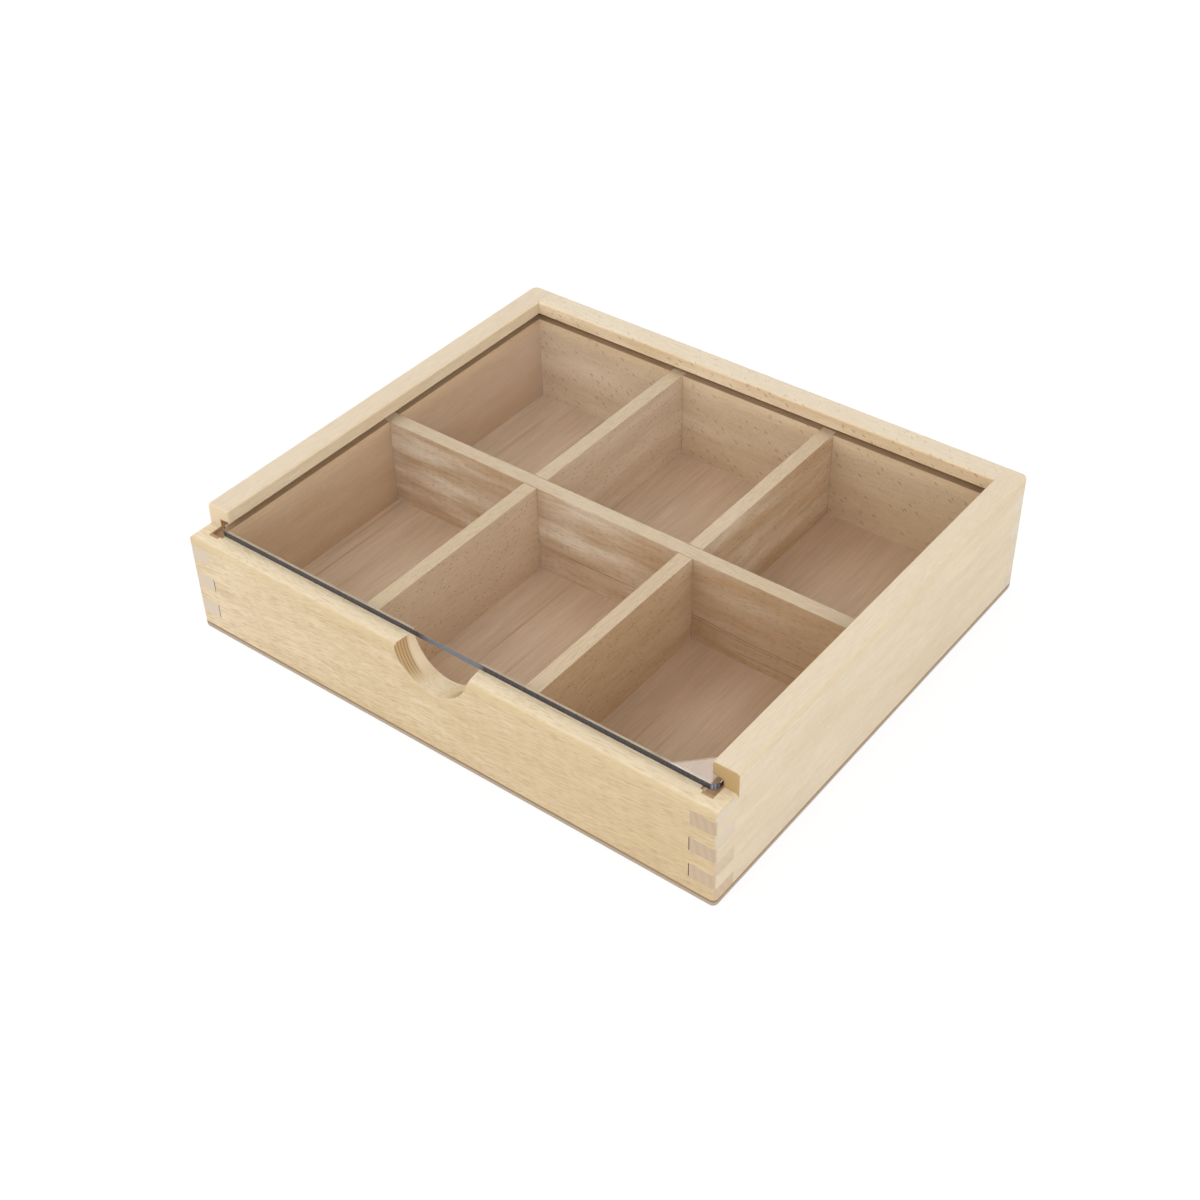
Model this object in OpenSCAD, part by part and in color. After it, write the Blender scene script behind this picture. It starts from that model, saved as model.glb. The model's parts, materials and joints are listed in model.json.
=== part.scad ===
// Tea bag organizer box: a finger-jointed wooden box with six compartments
// and a clear lid that slides forward out of grooves in the side and back walls.
// The origin is on the table under the middle of the box. +X is to the right,
// +Y is to the back and +Z is up. All sizes are in millimetres.

/* [Box] */
// Width of the box, left to right
box_w = 230; // [180:1:300]
// Depth of the box, front face to back face
box_d = 198; // [160:1:260]
// Height of the box, from the table to the tops of the side and back walls
box_h = 50; // [44:1:80]
// Thickness of the four walls
wall_t = 10; // [8.5:0.5:14]
// Radius of the two upright outer corners at the front
front_corner_r = 2; // [1.5:0.5:8]
// Radius of the two upright outer corners at the back
back_corner_r = 5.5; // [1.5:0.5:8]
// Radius that eases the outer top and bottom edges
edge_r = 1.4; // [0.4:0.1:1.8]
// Radius of the front wall's outer top edge, which the hand passes over
front_edge_r = 2.6; // [0.4:0.1:3]
// Radius that eases the inner top edges of the walls
lip_r = 0.8; // [0.3:0.1:1.5]

/* [Finger joints] */
// Height of one finger
finger_h = 6; // [4:0.5:12]
// Height of the lowest finger, which stands on the bottom panel
first_finger_h = 5.5; // [4:0.5:12]
// Number of low sockets in each end of the front wall that are cut too deep
loose_sockets = 2; // [0:1:3]
// Gap that shows at the end of a socket that is cut too deep
socket_gap = 0.3; // [0.1:0.05:0.6]

/* [Lid] */
// Thickness of the clear lid
lid_t = 2.4; // [1.5:0.1:5]
// Radius of the lid's four corners
lid_corner_r = 3; // [1:0.5:10]
// Gap between the lid and the front wall's top, which carries it
lid_seat_gap = 0.2; // [0.1:0.05:0.5]
// Gap between the lid and the top of its groove
lid_headroom = 0.4; // [0.2:0.05:1.5]
// Gap between the lid's right edge and the bottom of its groove
lid_gap_right = 0.3; // [0.2:0.1:2]
// Gap between the lid's left edge and the bottom of its groove
lid_gap_left = 3.1; // [0.2:0.1:3.5]
// Gap between the lid's back edge and the bottom of its groove
lid_gap_back = 0.3; // [0.2:0.1:2]
// Distance by which the lid's front edge laps over the front wall's top
lid_lap = 2.2; // [1:0.1:5]

/* [Lid groove] */
// Depth of the lid groove into the walls
groove_d = 4.3; // [3.6:0.1:6]
// Height of the wood above the lid groove
lip_h = 5.4; // [3:0.1:9]
// Height of the front wall's top above the groove floor
front_rise = 1.2; // [0.3:0.1:3]
// Distance by which the grooves' blind ends in the front wall reach past the lid's front edge
groove_runout = 1.1; // [0.2:0.1:3]
// Distance from the inside of the front wall to the front ends of the side walls' lips
lip_cutback = 1.5; // [0:0.5:8]

/* [Finger notch] */
// Radius of the notch at the front face
notch_front_r = 16.4; // [10:0.2:24]
// Radius of the notch at the inner face of the front wall
notch_back_r = 15; // [9:0.2:22]
// Height of the notch's centre above the front wall's top, at the front face
notch_rise = 3.2; // [0:0.1:8]
// Angle by which the notch dips towards the inside
notch_dip = 15; // [0:1:25]

/* [Bottom panel] */
// Thickness of the plywood bottom
panel_t = 3; // [2:0.5:6]

/* [Dividers] */
// Thickness of the dividers
divider_t = 6; // [3:0.5:10]
// Distance between the centres of the two cross dividers
cross_spacing = 70; // [50:1:90]
// Depth of the housings in the walls that hold the dividers' ends
housing_d = 3; // [1:0.5:6]
// Clearance on each side of a divider in its housing or halving
divider_slip = 0.1; // [0.05:0.05:0.4]
// Clearance at the end of a divider in its housing
divider_end_gap = 0.3; // [0.1:0.1:1]

/* [Hidden] */
$fn = 64;
// Overshoot of a cut past the face that it starts from
cut = 1;

half_w = box_w / 2;
half_d = box_d / 2;
// Half sizes of the inside of the box
inner_x = half_w - wall_t;
inner_y = half_d - wall_t;

groove_h = front_rise + lid_seat_gap + lid_t + lid_headroom;
groove_top = box_h - lip_h;
groove_floor = groove_top - groove_h;
front_top = groove_floor + front_rise;
lid_z = front_top + lid_seat_gap;
lid_front_y = -inner_y - lid_lap;

// The dividers' tops are level with the groove floor
divider_h = groove_floor - panel_t;
// Half way up a divider, where the two halvings meet
halving_z = panel_t + divider_h / 2;
finger_count = 1 + ceil((box_h - panel_t - first_finger_h) / finger_h);

// Height of the bottom of finger i, counted from 0 upwards
function finger_z(i) = panel_t + (i == 0 ? 0 : first_finger_h + (i - 1) * finger_h);

beech = "burlywood";
pale_beech = "wheat";
plywood = "tan";
clear_acrylic = [0.75, 0.85, 0.9, 0.4];

// A rectangle with round corners, centred on the origin
module round_rect(w, d, r) {
    square([w - 2 * r, d], center = true);
    square([w, d - 2 * r], center = true);
    for (x = [-1, 1], y = [-1, 1])
        translate([x * (w / 2 - r), y * (d / 2 - r)])
            circle(r);
}

// What rounds a flat shape to the radius r at a corner that lies at x, y and points towards +X and +Y
module corner_cut(x, y, r) {
    translate([x - r, y - r])
        difference() {
            square(r + cut);
            circle(r);
        }
}

// The box's outline from above: the front corners have one radius and the back corners another
module box_outline() {
    difference() {
        square([box_w, box_d], center = true);
        for (to_left = [0, 1])
            mirror([to_left, 0]) {
                corner_cut(half_w, half_d, back_corner_r);
                mirror([0, 1])
                    corner_cut(half_w, half_d, front_corner_r);
            }
    }
}

// A board's end outline: w wide, h high from the origin. Its top corners are eased, the one
// towards -X by low_r and the one towards +X by high_r.
module eased_outline(w, h, low_r, high_r) {
    difference() {
        translate([-w / 2, 0])
            square([w, h]);
        corner_cut(w / 2, h, high_r);
        mirror([1, 0])
            corner_cut(w / 2, h, low_r);
    }
}

// The outer form of a box of height h, with round upright corners and eased top edges.
// The front one is eased by front_r.
module outer_form(h, front_r) {
    intersection() {
        linear_extrude(h)
            box_outline();
        translate([0, half_d, 0])
            rotate([90, 0, 0])
                linear_extrude(box_d)
                    eased_outline(box_w, h, edge_r, edge_r);
        translate([-half_w, 0, 0])
            rotate([90, 0, 90])
                linear_extrude(box_w)
                    eased_outline(box_d, h, front_r, edge_r);
    }
}

// The quarter round that eases one inner top edge, cut along +X from the origin
module inner_easing(length) {
    translate([0, 0, -lip_r])
        difference() {
            translate([0, -cut, 0])
                cube([length, lip_r + cut, lip_r + cut]);
            translate([-cut, lip_r, 0])
                rotate([0, 90, 0])
                    cylinder(h = length + 2 * cut, r = lip_r);
        }
}

// The hollow between the walls
module hollow() {
    translate([-inner_x, -inner_y, 0])
        cube([2 * inner_x, 2 * inner_y, box_h + cut]);
    translate([-inner_x, inner_y, box_h])
        inner_easing(2 * inner_x);
    for (side = [-1, 1])
        translate([side * inner_x, -side * inner_y, box_h])
            rotate([0, 0, -side * 90])
                mirror([1, 0, 0])
                    inner_easing(2 * inner_y);
}

// The grooves that hold the lid: one along each side wall and one along the back wall
module lid_grooves() {
    groove_y0 = lid_front_y - groove_runout;
    groove_y1 = inner_y + groove_d;
    for (side = [-1, 1])
        translate([side * (inner_x + (groove_d - cut) / 2), (groove_y0 + groove_y1) / 2,
                   groove_floor + groove_h / 2])
            cube([groove_d + cut, groove_y1 - groove_y0, groove_h], center = true);
    translate([-inner_x - groove_d, inner_y - cut, groove_floor])
        cube([2 * (inner_x + groove_d), groove_d + cut, groove_h]);
}

// The housings that hold the dividers' ends, open to the groove above them
module divider_housings() {
    slot_t = divider_t + 2 * divider_slip;
    reach_x = inner_x + housing_d;
    reach_y = inner_y + housing_d;
    translate([-reach_x, -slot_t / 2, 0])
        cube([2 * reach_x, slot_t, groove_floor]);
    for (side = [-1, 1])
        translate([side * cross_spacing / 2 - slot_t / 2, -reach_y, 0])
            cube([slot_t, 2 * reach_y, groove_floor]);
}

// The four glued-up walls as one frame, which the finger joints then part into boards
module frame() {
    difference() {
        union() {
            outer_form(front_top, front_edge_r);
            intersection() {
                outer_form(box_h, edge_r);
                translate([-box_w, lip_cutback - inner_y, 0])
                    cube([2 * box_w, 2 * box_d, box_h]);
            }
        }
        translate([-box_w, -box_d, -cut])
            cube([2 * box_w, 2 * box_d, panel_t + cut]);
        hollow();
        lid_grooves();
        divider_housings();
    }
}

// Every second finger at the four corners, as blocks: the lowest is number 0.
// Blocks along_x lie in the side walls' thickness, the others in the front and back walls'.
module fingers(first, last, along_x, depth) {
    for (i = [first : 2 : last], side = [-1, 1]) {
        block_h = finger_z(i + 1) - finger_z(i);
        z = finger_z(i) + block_h / 2;
        if (along_x)
            translate([side * (half_w + cut / 2 - depth / 2), 0, z])
                cube([depth + cut, 2 * box_d, block_h], center = true);
        else
            translate([0, side * (half_d + cut / 2 - depth / 2), z])
                cube([2 * box_w, depth + cut, block_h], center = true);
    }
}

// The scoop for a fingertip in the middle of the front wall's top: a tilted cone, which
// runs on at both ends until its whole rim is clear of the wall
module finger_notch() {
    run = wall_t / cos(notch_dip);
    run_on = notch_front_r * tan(notch_dip) + cut;
    spread = (notch_front_r - notch_back_r) * run_on / run;
    translate([0, -half_d, front_top + notch_rise])
        rotate([-90 - notch_dip, 0, 0])
            translate([0, 0, -run_on])
                cylinder(h = run + 2 * run_on, r1 = notch_front_r + spread, r2 = notch_back_r - spread);
}

module front_wall() {
    color(beech)
        difference() {
            intersection() {
                frame();
                translate([-box_w, -2 * box_d - inner_y, 0])
                    cube([2 * box_w, 2 * box_d, box_h]);
            }
            fingers(1, finger_count, true, wall_t);
            fingers(1, 2 * loose_sockets - 1, true, wall_t + socket_gap);
            finger_notch();
        }
}

module back_wall() {
    color(beech)
        difference() {
            intersection() {
                frame();
                translate([-box_w, inner_y, 0])
                    cube([2 * box_w, 2 * box_d, 2 * box_h]);
            }
            fingers(1, finger_count, true, wall_t);
        }
}

// A side wall: side is -1 on the left and 1 on the right
module side_wall(side) {
    difference() {
        intersection() {
            frame();
            translate([side * (inner_x + box_w), 0, 0])
                cube([2 * box_w, 2 * box_d, 2 * box_h], center = true);
        }
        fingers(0, finger_count, false, wall_t);
    }
}

module left_wall() {
    color(pale_beech)
        side_wall(-1);
}

module right_wall() {
    color(pale_beech)
        side_wall(1);
}

module bottom_panel() {
    color(plywood)
        translate([0, 0, panel_t])
            mirror([0, 0, 1])
                outer_form(panel_t, edge_r);
}

// A divider of the given length along X, standing on the bottom panel
module divider_board(length) {
    translate([-length / 2, -divider_t / 2, panel_t])
        cube([length, divider_t, divider_h]);
}

// The slot through a board that crosses another, from z0 up to z1
module halving(z0, z1) {
    slot_t = divider_t + 2 * divider_slip;
    translate([-slot_t / 2, -slot_t / 2, z0])
        cube([slot_t, slot_t, z1 - z0]);
}

module long_divider() {
    color(beech)
        difference() {
            divider_board(2 * (inner_x + housing_d - divider_end_gap));
            for (side = [-1, 1])
                translate([side * cross_spacing / 2, 0, 0])
                    halving(0, halving_z + divider_slip);
        }
}

// A cross divider: side is -1 on the left and 1 on the right
module cross_divider(side) {
    translate([side * cross_spacing / 2, 0, 0])
        difference() {
            rotate([0, 0, 90])
                divider_board(2 * (inner_y + housing_d - divider_end_gap));
            halving(halving_z, box_h);
        }
}

module cross_divider_left() {
    color(pale_beech)
        cross_divider(-1);
}

module cross_divider_right() {
    color(pale_beech)
        cross_divider(1);
}

module lid() {
    lid_x0 = lid_gap_left - inner_x - groove_d;
    lid_x1 = inner_x + groove_d - lid_gap_right;
    lid_back_y = inner_y + groove_d - lid_gap_back;
    color(clear_acrylic)
        translate([(lid_x0 + lid_x1) / 2, (lid_front_y + lid_back_y) / 2, lid_z])
            linear_extrude(lid_t)
                round_rect(lid_x1 - lid_x0, lid_back_y - lid_front_y, lid_corner_r);
}

front_wall();
back_wall();
left_wall();
right_wall();
bottom_panel();
long_divider();
cross_divider_left();
cross_divider_right();
lid();
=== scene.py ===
"""A tea bag organizer box: finger-jointed beech with six compartments and a clear sliding lid."""

import json
import math
from types import SimpleNamespace

import bmesh
import bpy
from mathutils import Matrix, Vector

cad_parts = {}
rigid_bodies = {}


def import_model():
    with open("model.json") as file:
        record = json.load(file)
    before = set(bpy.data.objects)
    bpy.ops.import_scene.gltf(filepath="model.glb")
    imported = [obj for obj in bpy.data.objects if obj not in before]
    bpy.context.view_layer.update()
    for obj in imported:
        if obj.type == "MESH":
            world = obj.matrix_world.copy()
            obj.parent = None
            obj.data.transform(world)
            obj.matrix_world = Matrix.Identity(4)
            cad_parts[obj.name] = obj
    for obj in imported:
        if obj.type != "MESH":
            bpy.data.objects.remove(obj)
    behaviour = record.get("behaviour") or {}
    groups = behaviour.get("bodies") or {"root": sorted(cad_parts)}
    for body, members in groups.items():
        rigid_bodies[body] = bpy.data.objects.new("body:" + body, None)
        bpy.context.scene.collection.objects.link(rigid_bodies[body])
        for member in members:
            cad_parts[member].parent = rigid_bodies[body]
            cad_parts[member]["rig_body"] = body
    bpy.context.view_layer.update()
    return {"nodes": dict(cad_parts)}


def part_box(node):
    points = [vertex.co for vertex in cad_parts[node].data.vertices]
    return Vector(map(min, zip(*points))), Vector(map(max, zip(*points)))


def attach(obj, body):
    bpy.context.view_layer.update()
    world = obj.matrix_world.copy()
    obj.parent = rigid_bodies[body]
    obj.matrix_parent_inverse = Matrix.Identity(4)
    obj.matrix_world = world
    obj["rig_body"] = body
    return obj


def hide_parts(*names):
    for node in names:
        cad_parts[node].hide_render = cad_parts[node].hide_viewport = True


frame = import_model()


# ---- Front wall ----
# The low front board: flat-sawn beech with short dark rays, planed, sanded and given a thin clear coat.
# Its ends are cut into fingers, and its top is scooped out in the middle so that a fingertip reaches the lid.

MM = 0.001
wall_t = 10
# The heights between which the lid's groove runs round the walls, and how deep its brown colour reaches
groove_floor = 40.4
groove_top = 44.6
groove_reach = 4.5
front_low, front_high = (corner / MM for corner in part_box("front_wall"))
# Half sizes of the hollow between the walls
inner_x = front_high.x - wall_t
inner_y = -front_low.y - wall_t


def tone(red, green, blue):
    """A colour as the eye reads it, 0 to 255 a channel, as the linear values that a shader takes."""
    def linear(value):
        share = value / 255
        return share / 12.92 if share <= 0.04045 else ((share + 0.055) / 1.055) ** 2.4
    return (linear(red), linear(green), linear(blue), 1)


def node(tree, kind, settings=(), inputs=()):
    """A new node. An input is either a plain value or the output that feeds it."""
    made = tree.nodes.new(kind)
    for name, value in dict(settings).items():
        setattr(made, name, value)
    for name, value in dict(inputs).items():
        if isinstance(value, bpy.types.NodeSocket):
            tree.links.new(value, made.inputs[name])
        else:
            made.inputs[name].default_value = value
    return made


def maths(tree, operation, first, second=0.5):
    return node(tree, "ShaderNodeMath", {"operation": operation}, {0: first, 1: second}).outputs[0]


def times(tree, *shares):
    """The product of several shares, such as masks that all have to hold."""
    product = shares[0]
    for share in shares[1:]:
        product = maths(tree, "MULTIPLY", product, share)
    return product


def apart(tree, value):
    """How far value is from 0, to either side."""
    return maths(tree, "ABSOLUTE", value)


def ramped(tree, value, low, high):
    """0 where value is at low, 1 where it is at high, and a soft curve between."""
    return node(tree, "ShaderNodeMapRange", {"interpolation_type": "SMOOTHSTEP"},
                {"Value": value, "From Min": low, "From Max": high}).outputs["Result"]


def blended(tree, share, first, second, kind="MIX"):
    """The first colour with the second laid over it by share."""
    mix = node(tree, "ShaderNodeMix", {"data_type": "RGBA", "blend_type": kind})
    for socket, value in ((mix.inputs[0], share), (mix.inputs[6], first), (mix.inputs[7], second)):
        if isinstance(value, bpy.types.NodeSocket):
            tree.links.new(value, socket)
        else:
            socket.default_value = value
    return mix.outputs[2]


def new_material(name):
    """A material with an empty tree, and the tree."""
    material = bpy.data.materials.new(name)
    material.use_nodes = True
    material.node_tree.nodes.clear()
    return material, material.node_tree


def places_in(tree):
    """A point's place in millimetres, as one vector and by axis, and which way it faces, by axis."""
    where = node(tree, "ShaderNodeTexCoord")
    in_mm = node(tree, "ShaderNodeMapping", inputs={
        "Vector": where.outputs["Object"], "Scale": (1 / MM, 1 / MM, 1 / MM)}).outputs[0]
    axes = node(tree, "ShaderNodeSeparateXYZ", inputs={"Vector": in_mm}).outputs
    facing = node(tree, "ShaderNodeSeparateXYZ", inputs={"Vector": where.outputs["Normal"]}).outputs
    return in_mm, axes, facing


def sized_noise(tree, place, size, detail=2.0, shift=0.0):
    """Noise with features of that size in millimetres along, across and through the board."""
    mapped = node(tree, "ShaderNodeMapping", inputs={
        "Vector": place, "Location": (shift, shift * 0.7, shift * 0.3), "Scale": [1 / s for s in size]})
    return node(tree, "ShaderNodeTexNoise", inputs={
        "Vector": mapped.outputs[0], "Scale": 1.0, "Detail": detail, "Roughness": 0.55}).outputs["Fac"]


def shaded(tree, colour, fibre, darkest, lightest):
    """The colour made a little darker or lighter by the noise of the fibres."""
    shade = node(tree, "ShaderNodeMapRange", inputs={
        "Value": fibre, "From Min": 0.3, "From Max": 0.7, "To Min": darkest, "To Max": lightest})
    grey = node(tree, "ShaderNodeCombineColor", inputs={i: shade.outputs[0] for i in range(3)})
    return blended(tree, 1.0, colour, grey.outputs[0], "MULTIPLY")


def coated(tree, colour, roughness, relief, strength, depth):
    """Ends the tree with clear-coated wood, whose relief is depth millimetres deep."""
    bump = node(tree, "ShaderNodeBump", inputs={
        "Strength": strength, "Distance": depth * MM, "Height": relief})
    coat = node(tree, "ShaderNodeBsdfPrincipled", inputs={
        "Base Color": colour, "Roughness": roughness, "Specular IOR Level": 0.35, "Normal": bump.outputs[0]})
    node(tree, "ShaderNodeOutputMaterial", inputs={"Surface": coat.outputs[0]})


def ray_marks(tree, flat, length, width, slant, share, shift):
    """Spindles of that length and width, leaning by slant degrees, in that share of their places."""
    reach = 0.33
    turned = node(tree, "ShaderNodeMapping", inputs={
        "Vector": flat, "Rotation": (0, 0, math.radians(slant))})
    mapped = node(tree, "ShaderNodeMapping", inputs={
        "Vector": turned.outputs[0], "Location": (shift, shift, 0),
        "Scale": (2 * reach / length, 2 * reach / width, 1)})
    places = node(tree, "ShaderNodeTexVoronoi", {"voronoi_dimensions": "2D"},
                  {"Vector": mapped.outputs[0], "Scale": 1.0, "Randomness": 1.0})
    inside = ramped(tree, places.outputs["Distance"], reach, reach * 0.35)
    chance = node(tree, "ShaderNodeSeparateColor", inputs={"Color": places.outputs["Color"]})
    kept = ramped(tree, chance.outputs[0], share + 0.08, share - 0.08)
    return times(tree, inside, kept)


def pore_line(tree, along, across, height, start, stop):
    """A thin line along the grain at that height, between two places, that fades at both ends."""
    inside = ramped(tree, apart(tree, maths(tree, "SUBTRACT", across, height)), 0.35, 0.08)
    begun = ramped(tree, along, start, start + 6)
    ended = ramped(tree, along, stop, stop - 6)
    return times(tree, inside, begun, ended)


def board_places(tree, grain, shift):
    """Where a point lies on its board and which way it faces, by the board's own directions."""
    _, axes, facing = places_in(tree)
    along, across, through = (axes[letter] for letter in grain)
    board = node(tree, "ShaderNodeCombineXYZ", inputs={"X": along, "Y": across, "Z": through}).outputs[0]
    # The fibres waver a little along the board
    sway = maths(tree, "SUBTRACT", sized_noise(tree, board, (70, 26, 30), 1, shift), 0.5)
    drift = node(tree, "ShaderNodeCombineXYZ", inputs={"Y": times(tree, sway, 7)}).outputs[0]
    wavered = node(tree, "ShaderNodeVectorMath", {"operation": "ADD"}, {0: board, 1: drift}).outputs[0]
    return SimpleNamespace(
        along=along, across=across, through=through, axes=axes, board=board, wavered=wavered,
        fibre_height=node(tree, "ShaderNodeSeparateXYZ", inputs={"Vector": wavered}).outputs["Y"],
        reach=apart(tree, along), depth=apart(tree, through),
        faces_along=apart(tree, facing[grain[0]]), faces_through=apart(tree, facing[grain[2]]),
        faces_up_or_down=apart(tree, facing["Z"]), on_top=ramped(tree, facing["Z"], 0.75, 0.95))


def figured(tree, on, pale, warm, shift, turns_warm):
    """The broad figure of a flat-sawn board, in its two colours."""
    figure = ramped(tree, sized_noise(tree, on.wavered, (60, 8, 14), 3, shift + 3), 0.3, 0.7)
    cloud = ramped(tree, sized_noise(tree, on.wavered, (30, 14, 16), 2, shift + 8), 0.35, 0.7)
    colour = blended(tree, figure, tone(*pale), tone(*warm))
    colour = blended(tree, times(tree, cloud, 0.45), colour, tone(*warm))
    if turns_warm:
        turned = times(tree, ramped(tree, on.along, *turns_warm), 0.9)
        colour = blended(tree, turned, colour, tone(*warm))
    return colour


def top_and_inner_shade(tree, on, colour, rim, inside):
    """The colour with its own colour on the sanded top, which is partly painted light and shade, and with
    painted shade on the inner face below the lid.
    """
    if rim:
        # Partly painted light and shade: the top's colour is set apart from the faces' colour by how
        # differently the lamps light them
        colour = blended(tree, times(tree, on.on_top, 0.8), colour, tone(*rim))
    if inside:
        inner_face, kept = inside
        # Painted shade: the inner face is darkened below the lid, inside the box
        at_face = ramped(tree, on.depth, inner_face + 0.6, inner_face + 0.2)
        below_lid = ramped(tree, on.axes["Z"], groove_floor + 0.6, groove_floor - 0.4)
        shade_below_lid = blended(tree, 1.0, colour, tone(*kept), "MULTIPLY")
        colour = blended(tree, times(tree, at_face, below_lid), colour, shade_below_lid)
    return colour


def marked(tree, on, colour, ray, rays, lines, ripple, fleck, shift):
    """The colour with the planer's ripples, as painted shade in their troughs and painted highlights on their
    crests, the rays and the pore lines, and how deep the marks are.
    """
    # The ripples run nearly along the board
    leaning = node(tree, "ShaderNodeMapping", inputs={
        "Vector": on.wavered, "Rotation": (0, 0, math.radians(-5))}).outputs[0]
    rippled = sized_noise(tree, leaning, (6, 0.6, 0.6), 2, shift + 21)
    # Painted shade in the ripples' troughs
    marks = times(tree, ramped(tree, rippled, 0.47, 0.36), ripple)
    colour = blended(tree, marks, colour, tone(*ray))
    # Painted highlights on the ripples' crests
    crest_highlights = times(tree, ramped(tree, rippled, 0.5, 0.68), ripple / 2)
    colour = blended(tree, crest_highlights, colour, tone(246, 232, 206))
    # The rays run deep, so on any face they show by its own two directions
    flat = node(tree, "ShaderNodeCombineXYZ", inputs={
        "X": on.along, "Y": maths(tree, "ADD", on.fibre_height, on.through)}).outputs[0]
    shown = maths(tree, "SUBTRACT", 1.0, times(tree, on.on_top, 1 - fleck))
    for length, width, slant, share, strength in rays:
        spindles = ray_marks(tree, flat, length, width, slant, share, shift)
        layer = times(tree, spindles, strength, shown)
        colour = blended(tree, layer, colour, tone(*ray))
        marks = maths(tree, "MAXIMUM", marks, layer)
    for height, start, stop, strength in lines:
        line = times(tree, pore_line(tree, on.along, on.fibre_height, height, start, stop), strength)
        colour = blended(tree, line, colour, tone(*ray))
    return colour, marks


def finger_ends(tree, on, colour, pale, fingers):
    """The colour with the finger ends, which drink the coat: greyer, most so high up, with rings as arcs."""
    end, end_low, end_high = fingers
    pith = node(tree, "ShaderNodeMapping", inputs={"Vector": on.board, "Location": (0, 35, 160)}).outputs[0]
    arcs = node(tree, "ShaderNodeTexWave", {"wave_type": "RINGS", "rings_direction": "X"}, {
        "Vector": pith, "Scale": 0.11, "Distortion": 3.5, "Detail": 2.0, "Detail Scale": 0.4})
    ends = blended(tree, ramped(tree, on.axes["Z"], 4, 38), tone(*end_low), tone(*end_high))
    ends = blended(tree, times(tree, arcs.outputs["Fac"], 0.15), ends, tone(*pale))
    far_out = ramped(tree, on.reach, end - 3, end - 2)
    return blended(tree, times(tree, ramped(tree, on.faces_along, 0.45, 0.8), far_out), colour, ends)


def ring_lines(tree, on, pale, sawn, rings):
    """The colour of a cut across the board, whose rings are dark lines that near the outer face low down."""
    strength, faded, full = rings
    tilted = maths(tree, "ADD", on.depth, times(tree, on.across, 0.15))
    layers = node(tree, "ShaderNodeCombineXYZ", inputs={
        "X": on.along, "Y": on.across, "Z": tilted}).outputs[0]
    bands = node(tree, "ShaderNodeTexWave", {"wave_type": "BANDS", "bands_direction": "Z"}, {
        "Vector": layers, "Scale": 0.25, "Distortion": 1.6, "Detail": 2.0, "Detail Scale": 0.25})
    near = ramped(tree, tilted, faded, full)
    dark = times(tree, ramped(tree, bands.outputs["Fac"], 0.4, 0.05), near, strength)
    return blended(tree, dark, blended(tree, near, tone(*pale), tone(*sawn)), tone(132, 94, 54))


def socket_gap_shade(tree, on, colour, grain, end):
    """The colour with painted shade in the finger joints' gaps: darker on the sockets' bottoms, and darkest
    on the flanks beside a deep socket.
    """
    bottom = end - wall_t
    in_socket = times(tree, ramped(tree, on.reach, bottom - 1.4, bottom - 1),
                      ramped(tree, on.reach, bottom + 3, bottom + 2))
    below_groove = ramped(tree, on.axes["Z"], groove_floor - 0.1, groove_floor - 0.5)
    socket = times(tree, ramped(tree, on.faces_along, 0.8, 0.95), in_socket, below_groove)
    # Painted shade in the joint gaps: the sockets' bottoms darker, their flanks darkest
    colour = blended(tree, socket, colour, tone(158, 128, 94))
    plane = inner_x if grain[2] == "X" else inner_y
    flank = times(tree, ramped(tree, on.depth, plane + 0.3, plane + 0.1),
                  ramped(tree, on.faces_through, 0.8, 0.95),
                  ramped(tree, on.reach, bottom + 0.1, bottom + 0.3))
    return blended(tree, flank, colour, tone(104, 70, 42))


def groove_shade(tree, on, colour, groove):
    """The colour with painted shade in the lid's sawn groove: brown, where the lip shades it."""
    letter, start = groove
    sunk = ramped(tree, apart(tree, on.axes[letter]), start, start + 0.4)
    for other, stop in (("X", inner_x + groove_reach), ("Y", inner_y + groove_reach)):
        sunk = times(tree, sunk, ramped(tree, apart(tree, on.axes[other]), stop + 0.3, stop))
    above_floor = ramped(tree, on.axes["Z"], groove_floor - 0.5, groove_floor - 0.1)
    below_top = ramped(tree, on.axes["Z"], groove_top + 0.4, groove_top + 0.1)
    # Painted shade: brown in the groove, under the lip
    return blended(tree, times(tree, sunk, above_floor, below_top, 0.85), colour, tone(160, 122, 80))


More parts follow.
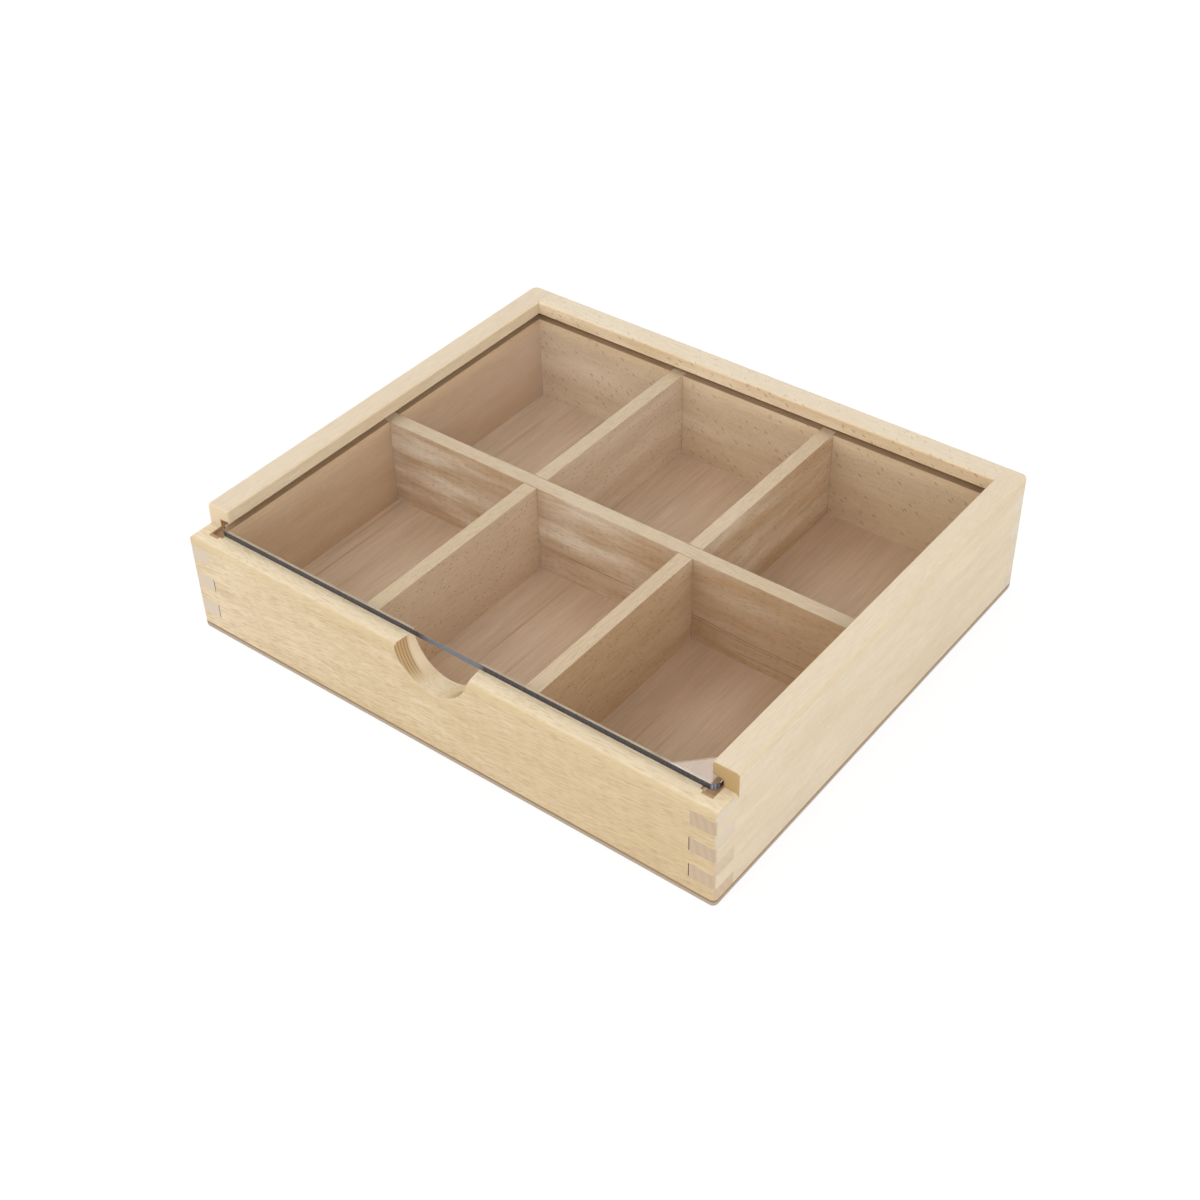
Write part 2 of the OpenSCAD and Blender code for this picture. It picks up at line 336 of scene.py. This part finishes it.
def beech(name, grain, pale, warm, ray, rays, shift, ripple=0.12, rim=None, inside=None, fingers=None,
          sawn=(206, 172, 130), rings=None, groove=None, lines=(), turns_warm=None, fleck=0.4,
          edges=(0.25, (222, 196, 150))):
    """Clear-coated beech. grain names the axes along, across and through the board, such as "XZY".

    rays holds length, width, slant, share and strength, and lines holds height, start, stop and strength.
    ripple is how dark the planer's fine ripples are, as painted shade in their troughs, with painted
    highlights half as strong on their crests. rim is the colour of the sanded top, which is partly painted
    light and shade.
    inside is where the board's inner face is, and what it keeps of the colour below the lid, as painted
    shade.
    fingers says how far out the board ends and gives the low and high colours of its finger ends. sawn is any
    other end grain, and rings says how dark its rings are and from where to where they fade in. groove is the
    axis across the lid's groove and the place where its painted shade begins. turns_warm is where the board
    begins and ends to turn from pale to warm. fleck is how much of the marks shows on the top. edges is how
    much the rounded edges take of their painted shade, which tones down their highlight."""
    material, tree = new_material(name)
    on = board_places(tree, grain, shift)
    colour = figured(tree, on, pale, warm, shift, turns_warm)
    colour = top_and_inner_shade(tree, on, colour, rim, inside)
    colour, marks = marked(tree, on, colour, ray, rays, lines, ripple, fleck, shift)
    fibre = sized_noise(tree, on.wavered, (6, 0.5, 0.5), 2, shift + 5)
    colour = shaded(tree, colour, fibre, 0.945, 1.04)
    # Painted shade: the rounded edges are darkened and yellowed, to tone down the highlight that the lamps
    # put on them
    rounded = times(tree, ramped(tree, on.faces_up_or_down, 0.1, 0.4),
                    ramped(tree, on.faces_up_or_down, 0.99, 0.9))
    share, edge_colour = edges
    colour = blended(tree, times(tree, rounded, share), colour, tone(*edge_colour))
    if fingers:
        end = fingers[0]
        colour = finger_ends(tree, on, colour, pale, fingers)
        cut = ring_lines(tree, on, pale, sawn, rings) if rings else tone(*sawn)
        farther_in = ramped(tree, on.reach, end - wall_t - 1, end - wall_t - 1.4)
        colour = blended(tree, times(tree, ramped(tree, on.faces_along, 0.35, 0.75), farther_in), colour, cut)
        colour = socket_gap_shade(tree, on, colour, grain, end)
    if groove:
        colour = groove_shade(tree, on, colour, groove)
    coated(tree, colour, 0.52, maths(tree, "SUBTRACT", fibre, marks), 0.4, 0.08)
    return material


def whole_board(cad_node):
    """A copy of a packed board, with its triangles joined into whole faces so that its edges can be eased."""
    bm = bmesh.new()
    bm.from_mesh(frame["nodes"][cad_node].data)
    bmesh.ops.remove_doubles(bm, verts=bm.verts[:], dist=0.001 * MM)
    bmesh.ops.dissolve_limit(bm, angle_limit=math.radians(0.4), verts=bm.verts[:], edges=bm.edges[:])
    return bm


def ease(bm, radius, chosen, segments=3):
    """Sands round the sharp outer edges that chosen picks by their two ends, in millimetres."""
    sharp = [e for e in bm.edges if e.is_manifold and e.calc_face_angle_signed() > math.radians(35)
             and chosen(*(v.co / MM for v in e.verts))]
    bmesh.ops.bevel(bm, geom=sharp, offset=radius * MM, offset_type="OFFSET", segments=segments,
                    profile=0.5, affect="EDGES", clamp_overlap=True)


def finished(bm, name, materials, cad_node):
    """Turns the worked board into the piece that stands for its packed board and rides as it does."""
    for edge in bm.edges:
        edge.smooth = edge.is_manifold and edge.calc_face_angle() < math.radians(34)
    for face in bm.faces:
        face.smooth = True
    mesh = bpy.data.meshes.new(name)
    bm.to_mesh(mesh)
    bm.free()
    for material in materials:
        mesh.materials.append(material)
    piece = bpy.data.objects.new(name, mesh)
    bpy.context.scene.collection.objects.link(piece)
    piece.modifiers.new("even shading", "WEIGHTED_NORMAL").keep_sharp = True
    graph = bpy.context.evaluated_depsgraph_get()
    piece.data = bpy.data.meshes.new_from_object(piece.evaluated_get(graph))
    piece.modifiers.clear()
    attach(piece, frame["nodes"][cad_node]["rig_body"])
    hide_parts(cad_node)


# The scoop lies within notch_reach of the middle and above notch_lowest. Its two edges in the board's top
# run across the board, and alone are longer than scoop_edge.
notch_reach = 18
notch_lowest = 20
scoop_edge = 5
notch_ease = 0.9
front_top_ease = 0.4
# How near an edge's ends lie to the plane that they are picked by
touch = 0.01
# The front's rounded edges take more of a darker colour: painted shade that dulls their highlight
front_beech = beech("beech_front", "XZY", pale=(225, 205, 174), warm=(204, 181, 142), ray=(166, 128, 84),
                    rays=[(5.5, 0.45, -9, 0.35, 0.35), (2.6, 0.4, -14, 0.3, 0.3)], shift=0, ripple=0.22,
                    rim=(230, 212, 180), fingers=(front_high.x, (197, 172, 141), (210, 196, 176)),
                    sawn=(192, 161, 116), rings=(0.65, 97.8, 99.6), groove=("X", inner_x),
                    turns_warm=(-110, 110), edges=(0.5, (204, 182, 142)))


def at_notch(a, b):
    """True for an edge where the scoop meets the front board's front face, back face or top."""
    low_enough = min(a.z, b.z) < front_high.z - 0.05 or (a - b).length > scoop_edge
    return max(abs(a.x), abs(b.x)) < notch_reach and max(a.z, b.z) > notch_lowest and low_enough


def at_inner_top(a, b):
    """True for the front board's top edge on the inside."""
    inside = max(abs(a.y + inner_y), abs(b.y + inner_y)) < touch
    beside_scoop = min(abs(a.x), abs(b.x)) > notch_reach - 5
    return inside and min(a.z, b.z) > front_high.z - touch and beside_scoop


front = whole_board("front_wall")
ease(front, notch_ease, at_notch)
ease(front, front_top_ease, at_inner_top, 2)
finished(front, "front_board", [front_beech], "front_wall")


# ---- Back wall ----
# The full-height back board, with a groove inside for the lid. Its saw cut leans across the rays,
# so they show as short dark spindles that all slope the same way.

groove_ease = 0.3
back_beech = beech("beech_back", "XZY", pale=(237, 218, 188), warm=(219, 194, 158), ray=(140, 104, 70),
                   rays=[(2.6, 0.9, 38, 0.13, 0.55), (1.2, 0.5, 30, 0.2, 0.3)], shift=31, ripple=0.08,
                   rim=(219, 205, 182), fingers=(front_high.x, (206, 190, 168), (214, 202, 186)),
                   groove=("Y", inner_y), turns_warm=(0, 110))


def at_groove(a, b):
    """True for the long edges above and below the lid's groove, on the inner face of a wall."""
    level = abs(a.z - b.z) < touch and min(abs(a.z - groove_top), abs(a.z - groove_floor)) < touch
    inside = max(abs(abs(a.x) - inner_x), abs(abs(b.x) - inner_x)) < touch
    return level and (inside or max(abs(a.y - inner_y), abs(b.y - inner_y)) < touch)


back = whole_board("back_wall")
ease(back, groove_ease, at_groove, 2)
finished(back, "back_board", [back_beech], "back_wall")


# ---- Side walls ----
# Two full-height side boards, cut down at the front so that the lid can leave its groove.
# They come from paler, quieter stock than the front board, and a few warm flames show.

lip_cutback = 1.5
lip_front = lip_cutback - inner_y
lip_ease = 0.7
side_looks = {
    "left": dict(pale=(226, 211, 184), warm=(217, 197, 166), rim=(216, 199, 174), sawn=(220, 200, 166),
                 fingers=(-front_low.y, (205, 190, 170), (205, 188, 166)), shift=57,
                 # The left board's inner face is darkened below the lid, as painted shade
                 inside=(inner_x, (238, 222, 211))),
    "right": dict(pale=(221, 205, 178), warm=(213, 195, 166), rim=(218, 201, 175), sawn=(184, 153, 106),
                  fingers=(-front_low.y, (190, 166, 140), (184, 160, 134)), shift=83,
                  lines=[(47.3, -74, -58, 0.5)])}


def at_lip_end(a, b):
    """True for the outline of the end that the cut-down leaves above the lid."""
    return max(abs(a.y - lip_front), abs(b.y - lip_front)) < touch and min(a.z, b.z) > groove_top - touch


for side, looks in side_looks.items():
    side_beech = beech(f"beech_{side}", "YZX", ray=(172, 138, 98), rays=[(1.8, 0.5, -20, 0.3, 0.14)],
                       ripple=0.06, groove=("X", inner_x), **looks)
    wall = whole_board(f"{side}_wall")
    ease(wall, lip_ease, at_lip_end)
    ease(wall, groove_ease, at_groove, 2)
    finished(wall, f"{side}_board", [side_beech], f"{side}_wall")


# ---- Dividers ----
# Thin beech boards halved over each other and housed in the walls: one runs left to right, two front to back.
# They are pinker than the walls, and their top edges are just broken with sandpaper.

divider_ease = 0.3


def at_divider_top(a, b):
    """True for an edge round the top face of a divider, which is level with the groove's floor."""
    return min(a.z, b.z) > groove_floor - 0.4


long_beech = beech("beech_long_divider", "XZY", pale=(248, 235, 214), warm=(200, 166, 126), ray=(132, 92, 60),
                   rays=[(2.2, 0.5, 6, 0.25, 0.35), (1.0, 0.4, 12, 0.3, 0.25)], shift=101,
                   lines=[(14, -20, 106, 0.55), (12.8, 20, 106, 0.4), (7.5, 55, 106, 0.5)],
                   rim=(222, 200, 168), fleck=0.25, turns_warm=(-20, 100))
long_board = whole_board("long_divider")
ease(long_board, divider_ease, at_divider_top, 2)
finished(long_board, "long_divider_board", [long_beech], "long_divider")
cross_looks = {
    "left": dict(pale=(230, 211, 185), warm=(212, 186, 156), rim=(220, 196, 160), shift=127),
    "right": dict(pale=(236, 217, 190), warm=(203, 169, 129), rim=(224, 200, 167), shift=163)}
for side, looks in cross_looks.items():
    cross_beech = beech(f"beech_cross_{side}", "YZX", ray=(120, 82, 50), turns_warm=(50, -60), fleck=0.3,
                        rays=[(1.6, 0.8, 32, 0.16, 0.42), (0.9, 0.5, 28, 0.2, 0.22)], **looks)
    cross = whole_board(f"cross_divider_{side}")
    ease(cross, divider_ease, at_divider_top, 2)
    finished(cross, f"cross_board_{side}", [cross_beech], f"cross_divider_{side}")


# ---- Bottom panel ----
# A sheet of three-ply beech plywood, glued flush under the walls, with its lower outline sanded round.
# The face plies run front to back, and the core, which runs across, shows at the edge as paler end grain.

ply_count = 3
ply_seam = 0.03
panel_front_corner = 2
panel_back_corner = 5.5
panel_ease = 1.1
panel_low, panel_high = (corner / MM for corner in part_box("bottom_panel"))


def ply_tree():
    """Geometry Nodes that stack the plies: round-cornered sheets, each with its number as an attribute."""
    tree = bpy.data.node_groups.new("plies", "GeometryNodeTree")
    face = tree.interface
    for name in ("Width", "Depth", "Front Radius", "Back Radius", "Ply Thickness", "Pitch"):
        face.new_socket(name, in_out="INPUT", socket_type="NodeSocketFloat")
    face.new_socket("Plies", in_out="INPUT", socket_type="NodeSocketInt")
    face.new_socket("Finish", in_out="INPUT", socket_type="NodeSocketMaterial")
    face.new_socket("Geometry", in_out="OUTPUT", socket_type="NodeSocketGeometry")
    given = node(tree, "NodeGroupInput").outputs
    outline = node(tree, "GeometryNodeCurvePrimitiveQuadrilateral", inputs={
        "Width": given["Width"], "Height": given["Depth"]})
    corner = node(tree, "ShaderNodeSeparateXYZ", inputs={
        "Vector": node(tree, "GeometryNodeInputPosition").outputs[0]})
    radius = node(tree, "GeometryNodeSwitch", {"input_type": "FLOAT"}, {
        "Switch": maths(tree, "LESS_THAN", corner.outputs["Y"], 0.0),
        "False": given["Back Radius"], "True": given["Front Radius"]})
    rounded = node(tree, "GeometryNodeFilletCurve", {"mode": "POLY"}, {
        "Curve": outline.outputs[0], "Count": 8, "Radius": radius.outputs[0]})
    sheet = node(tree, "GeometryNodeFillCurve", {"mode": "NGONS"}, {"Curve": rounded.outputs[0]})
    raised = node(tree, "GeometryNodeExtrudeMesh", inputs={
        "Mesh": sheet.outputs[0], "Offset Scale": given["Ply Thickness"], "Individual": False})
    under = node(tree, "GeometryNodeFlipFaces", inputs={"Mesh": sheet.outputs[0]})
    both = node(tree, "GeometryNodeJoinGeometry")
    tree.links.new(raised.outputs["Mesh"], both.inputs[0])
    tree.links.new(under.outputs[0], both.inputs[0])
    ply = node(tree, "GeometryNodeMergeByDistance", inputs={
        "Geometry": both.outputs[0], "Distance": 0.001 * MM})
    step = node(tree, "ShaderNodeCombineXYZ", inputs={"Z": given["Pitch"]})
    stack = node(tree, "GeometryNodeMeshLine", {"mode": "OFFSET"}, {
        "Count": given["Plies"], "Offset": step.outputs[0]})
    number = node(tree, "GeometryNodeInputIndex")
    placed = node(tree, "GeometryNodeInstanceOnPoints", inputs={
        "Points": stack.outputs[0], "Instance": ply.outputs[0]})
    kept = node(tree, "GeometryNodeStoreNamedAttribute", {"data_type": "FLOAT", "domain": "INSTANCE"}, {
        "Geometry": placed.outputs[0], "Name": "ply", "Value": number.outputs[0]})
    real = node(tree, "GeometryNodeRealizeInstances", inputs={"Geometry": kept.outputs[0]})
    dressed = node(tree, "GeometryNodeSetMaterial", inputs={
        "Geometry": real.outputs[0], "Material": given["Finish"]})
    node(tree, "NodeGroupOutput", inputs={"Geometry": dressed.outputs[0]})
    return tree


def plywood():
    """Beech plywood: brown straight-grained face plies, a paler core, and darker edges."""
    material, tree = new_material("plywood")
    _, axes, facing = places_in(tree)
    sheet = node(tree, "ShaderNodeCombineXYZ", inputs={
        "X": axes["Y"], "Y": axes["X"], "Z": axes["Z"]}).outputs[0]
    stripe = ramped(tree, sized_noise(tree, sheet, (180, 9, 30), 2, 12), 0.34, 0.66)
    broad = ramped(tree, sized_noise(tree, sheet, (220, 30, 30), 2, 40), 0.35, 0.65)
    fibre = sized_noise(tree, sheet, (16, 1.0, 3), 2, 5)
    vessel = ramped(tree, sized_noise(tree, sheet, (120, 2.6, 30), 1, 77), 0.66, 0.74)
    colour = blended(tree, stripe, tone(235, 212, 184), tone(224, 198, 168))
    colour = blended(tree, times(tree, broad, 0.5), colour, tone(219, 190, 159))
    # The sheet is redder towards its right end
    redder = times(tree, ramped(tree, axes["X"], -90, 90), 0.6)
    colour = blended(tree, redder, colour, tone(199, 164, 131))
    colour = blended(tree, times(tree, vessel, 0.4), colour, tone(188, 150, 114))
    colour = shaded(tree, colour, fibre, 0.91, 1.06)
    number = node(tree, "ShaderNodeAttribute", {"attribute_name": "ply"})
    is_top = ramped(tree, number.outputs["Fac"], 1.4, 1.6)
    edge_colour = blended(tree, is_top, tone(176, 161, 144), tone(152, 122, 90))
    is_edge = ramped(tree, apart(tree, facing["Z"]), 0.9, 0.6)
    colour = blended(tree, is_edge, colour, edge_colour)
    coated(tree, colour, 0.55, fibre, 0.3, 0.04)
    return material


panel_size = panel_high - panel_low
ply_pitch = (panel_size.z + ply_seam) / ply_count
ply_inputs = {
    "Width": panel_size.x * MM, "Depth": panel_size.y * MM,
    "Front Radius": panel_front_corner * MM, "Back Radius": panel_back_corner * MM,
    "Ply Thickness": (ply_pitch - ply_seam) * MM, "Pitch": ply_pitch * MM,
    "Plies": ply_count, "Finish": plywood()}
stacked = bpy.data.objects.new("bottom_plies", bpy.data.meshes.new("bottom_plies"))
bpy.context.scene.collection.objects.link(stacked)
stacking = stacked.modifiers.new("plies", "NODES")
stacking.node_group = ply_tree()
for item in stacking.node_group.interface.items_tree:
    if item.in_out == "INPUT":
        stacking[item.identifier] = ply_inputs[item.name]
stacked.data.update()
plies = bpy.data.meshes.new_from_object(stacked.evaluated_get(bpy.context.evaluated_depsgraph_get()))
bpy.data.objects.remove(stacked)
panel = bmesh.new()
panel.from_mesh(plies)
ease(panel, panel_ease, lambda a, b: max(a.z, b.z) < touch)
finished(panel, "bottom_sheet", [ply_inputs["Finish"]], "bottom_panel")


# ---- Lid ----
# One sheet of clear cast acrylic with round corners, held in the grooves by its own edges.
# Its faces and the edges in the grooves are clear. Its front edge takes a dark colour, painted shade that
# stands in for how a clear edge looks dark, with painted light over the notch and a painted reflection on its
# round corners.

lid_ease = 0.2


def clear_sheet():
    """Polished acrylic. Rays from lamps and from matt surfaces pass straight through, less what it keeps."""
    material, tree = new_material("clear_acrylic_faces")
    path = node(tree, "ShaderNodeLightPath")
    straight = maths(tree, "MAXIMUM", path.outputs["Is Shadow Ray"], path.outputs["Is Diffuse Ray"])
    sheet = node(tree, "ShaderNodeBsdfPrincipled", inputs={
        "Base Color": (0.985, 0.99, 0.99, 1), "Roughness": 0.0, "IOR": 1.49, "Transmission Weight": 1.0})
    passed = node(tree, "ShaderNodeBsdfTransparent", inputs={"Color": (0.93, 0.93, 0.93, 1)})
    either = node(tree, "ShaderNodeMixShader", inputs={
        0: straight, 1: sheet.outputs[0], 2: passed.outputs[0]})
    node(tree, "ShaderNodeOutputMaterial", inputs={"Surface": either.outputs[0]})
    return material


def sheet_edge():
    """The front edge, glossy, painted dark as the shade that a clear edge shows, with faint scraper lines,
    painted light over the finger notch and a painted pale reflection where it turns round the corners.
    """
    material, tree = new_material("clear_acrylic_edge")
    in_mm, axes, facing = places_in(tree)
    scraped = ramped(tree, sized_noise(tree, in_mm, (0.6, 0.6, 20), 1, 0), 0.4, 0.6)
    colour = blended(tree, scraped, tone(50, 47, 54), tone(62, 59, 65))
    # Painted light: lighter where the edge lies over the finger notch
    light_over_notch = times(tree, ramped(tree, axes["X"], -12, -6), ramped(tree, axes["X"], 18, 15))
    colour = blended(tree, light_over_notch, colour, tone(98, 101, 106))
    # Painted reflection: a pale grey patch on the round corners, streaked by the scraper lines
    sideways = maths(tree, "MINIMUM", apart(tree, facing["X"]), apart(tree, facing["Y"]))
    corner_reflection = times(tree, ramped(tree, sideways, 0.2, 0.5), ramped(tree, scraped, -0.4, 1.6))
    colour = blended(tree, corner_reflection, colour, tone(156, 160, 168))
    coat = node(tree, "ShaderNodeBsdfPrincipled", inputs={
        "Base Color": colour, "Roughness": 0.25, "IOR": 1.49})
    node(tree, "ShaderNodeOutputMaterial", inputs={"Surface": coat.outputs[0]})
    return material


lid = whole_board("lid")
ease(lid, lid_ease, lambda a, b: abs(a.z - b.z) < touch, 1)
for lid_face in lid.faces:
    lid_face.material_index = 1 if lid_face.normal.y < -0.2 else 0
finished(lid, "lid_sheet", [clear_sheet(), sheet_edge()], "lid")


# ---- Floor, light and camera ----
# The box stands on a plain pale floor in a white studio whose low walls glow.
# A large soft light hangs behind it on the left, so that the lid mirrors its lower edge in one corner,
# and two weaker ones light its front and its right side.

floor_half = 4.0
floor_mesh = bpy.data.meshes.new("floor")
floor_bm = bmesh.new()
bmesh.ops.create_grid(floor_bm, x_segments=1, y_segments=1, size=floor_half)
floor_bm.to_mesh(floor_mesh)
floor_bm.free()
floor = bpy.data.objects.new("floor", floor_mesh)
bpy.context.scene.collection.objects.link(floor)
floor_paint, floor_tree = new_material("floor_paint")
floor_path = node(floor_tree, "ShaderNodeLightPath")
# What lights the box from below is matt. What is looked at is white, with a faint shadow.
floor_matt = node(floor_tree, "ShaderNodeBsdfDiffuse", inputs={"Color": (0.8, 0.8, 0.8, 1)})
floor_faint = node(floor_tree, "ShaderNodeBsdfDiffuse", inputs={"Color": (0.16, 0.16, 0.16, 1)})
floor_white = node(floor_tree, "ShaderNodeEmission", inputs={"Color": (1, 1, 1, 1), "Strength": 0.87})
floor_seen = node(floor_tree, "ShaderNodeAddShader", inputs={
    0: floor_faint.outputs[0], 1: floor_white.outputs[0]})
floor_looked_at = maths(floor_tree, "MAXIMUM", floor_path.outputs["Is Camera Ray"], maths(
    floor_tree, "MAXIMUM", floor_path.outputs["Is Glossy Ray"], floor_path.outputs["Is Transmission Ray"]))
floor_either = node(floor_tree, "ShaderNodeMixShader", inputs={
    0: floor_looked_at, 1: floor_matt.outputs[0], 2: floor_seen.outputs[0]})
node(floor_tree, "ShaderNodeOutputMaterial", inputs={"Surface": floor_either.outputs[0]})
floor_mesh.materials.append(floor_paint)

studio = bpy.data.worlds.new("studio")
bpy.context.scene.world = studio
studio.use_nodes = True
studio_tree = studio.node_tree
studio_tree.nodes.clear()


def toward(azimuth, elevation):
    """The way to a place in the studio. Azimuth runs from +Y towards -X, in degrees."""
    turn, lift = math.radians(azimuth), math.radians(elevation)
    return Vector((-math.sin(turn) * math.cos(lift), math.cos(turn) * math.cos(lift), math.sin(lift)))


# The elevations between which the studio's glowing walls fade into its dim ceiling
walls_end = 22
ceiling_begins = 38
studio_way = node(studio_tree, "ShaderNodeTexCoord").outputs["Generated"]
studio_height = node(studio_tree, "ShaderNodeSeparateXYZ", inputs={"Vector": studio_way}).outputs["Z"]
studio_walls = node(studio_tree, "ShaderNodeMapRange", {"interpolation_type": "SMOOTHSTEP"}, {
    "Value": studio_height, "From Min": toward(0, walls_end).z, "From Max": toward(0, ceiling_begins).z,
    "To Min": 1.3, "To Max": 0.12}).outputs[0]
studio_glow = node(studio_tree, "ShaderNodeBackground", inputs={
    "Color": (1, 1, 1, 1), "Strength": studio_walls})
node(studio_tree, "ShaderNodeOutputWorld", inputs={"Surface": studio_glow.outputs[0]})


def soft_light(name, azimuth, elevation, distance, width, height, radiance):
    """A rectangular soft light that faces the box."""
    lamp = bpy.data.lights.new(name, "AREA")
    lamp.shape = "RECTANGLE"
    lamp.size = width
    lamp.size_y = height
    lamp.energy = math.pi * width * height * radiance
    light = bpy.data.objects.new(name, lamp)
    bpy.context.scene.collection.objects.link(light)
    away = toward(azimuth, elevation)
    light.location = away * distance
    light.rotation_mode = "QUATERNION"
    light.rotation_quaternion = away.to_track_quat("Z", "Y")


soft_light("key_light", 46, 59.84, 1.4523, 1.6, 0.48, 2.9)
soft_light("front_light", 162, 46, 1.5, 1.4, 1.0, 2.2)
soft_light("right_light", 264, 42, 1.5, 1.4, 1.0, 1.9)

# The camera's place in millimetres, its turn, tilt and lean in radians, and its focal length in pixels
camera_place = (323.291, -414.881, 444.91)
camera_turn = -0.671
camera_tilt = -0.7
camera_lean = -0.026
camera_focal = 1839.17
photo_size = 1200

ahead = Vector((math.sin(camera_turn) * math.cos(camera_tilt),
                math.cos(camera_turn) * math.cos(camera_tilt), math.sin(camera_tilt)))
level = ahead.cross(Vector((0, 0, 1))).normalized()
rise = level.cross(ahead)
right = math.cos(camera_lean) * level + math.sin(camera_lean) * rise
up = math.cos(camera_lean) * rise - math.sin(camera_lean) * level
camera_data = bpy.data.cameras.new("camera")
camera_data.sensor_width = 36
camera_data.lens = camera_focal * camera_data.sensor_width / photo_size
camera_data.clip_start = 0.01
camera = bpy.data.objects.new("camera", camera_data)
bpy.context.scene.collection.objects.link(camera)
turned = Matrix((right, up, -ahead)).transposed().to_4x4()
camera.matrix_world = Matrix.Translation(Vector(camera_place) * MM) @ turned
bpy.context.scene.camera = camera
bpy.context.scene.view_settings.view_transform = "Standard"
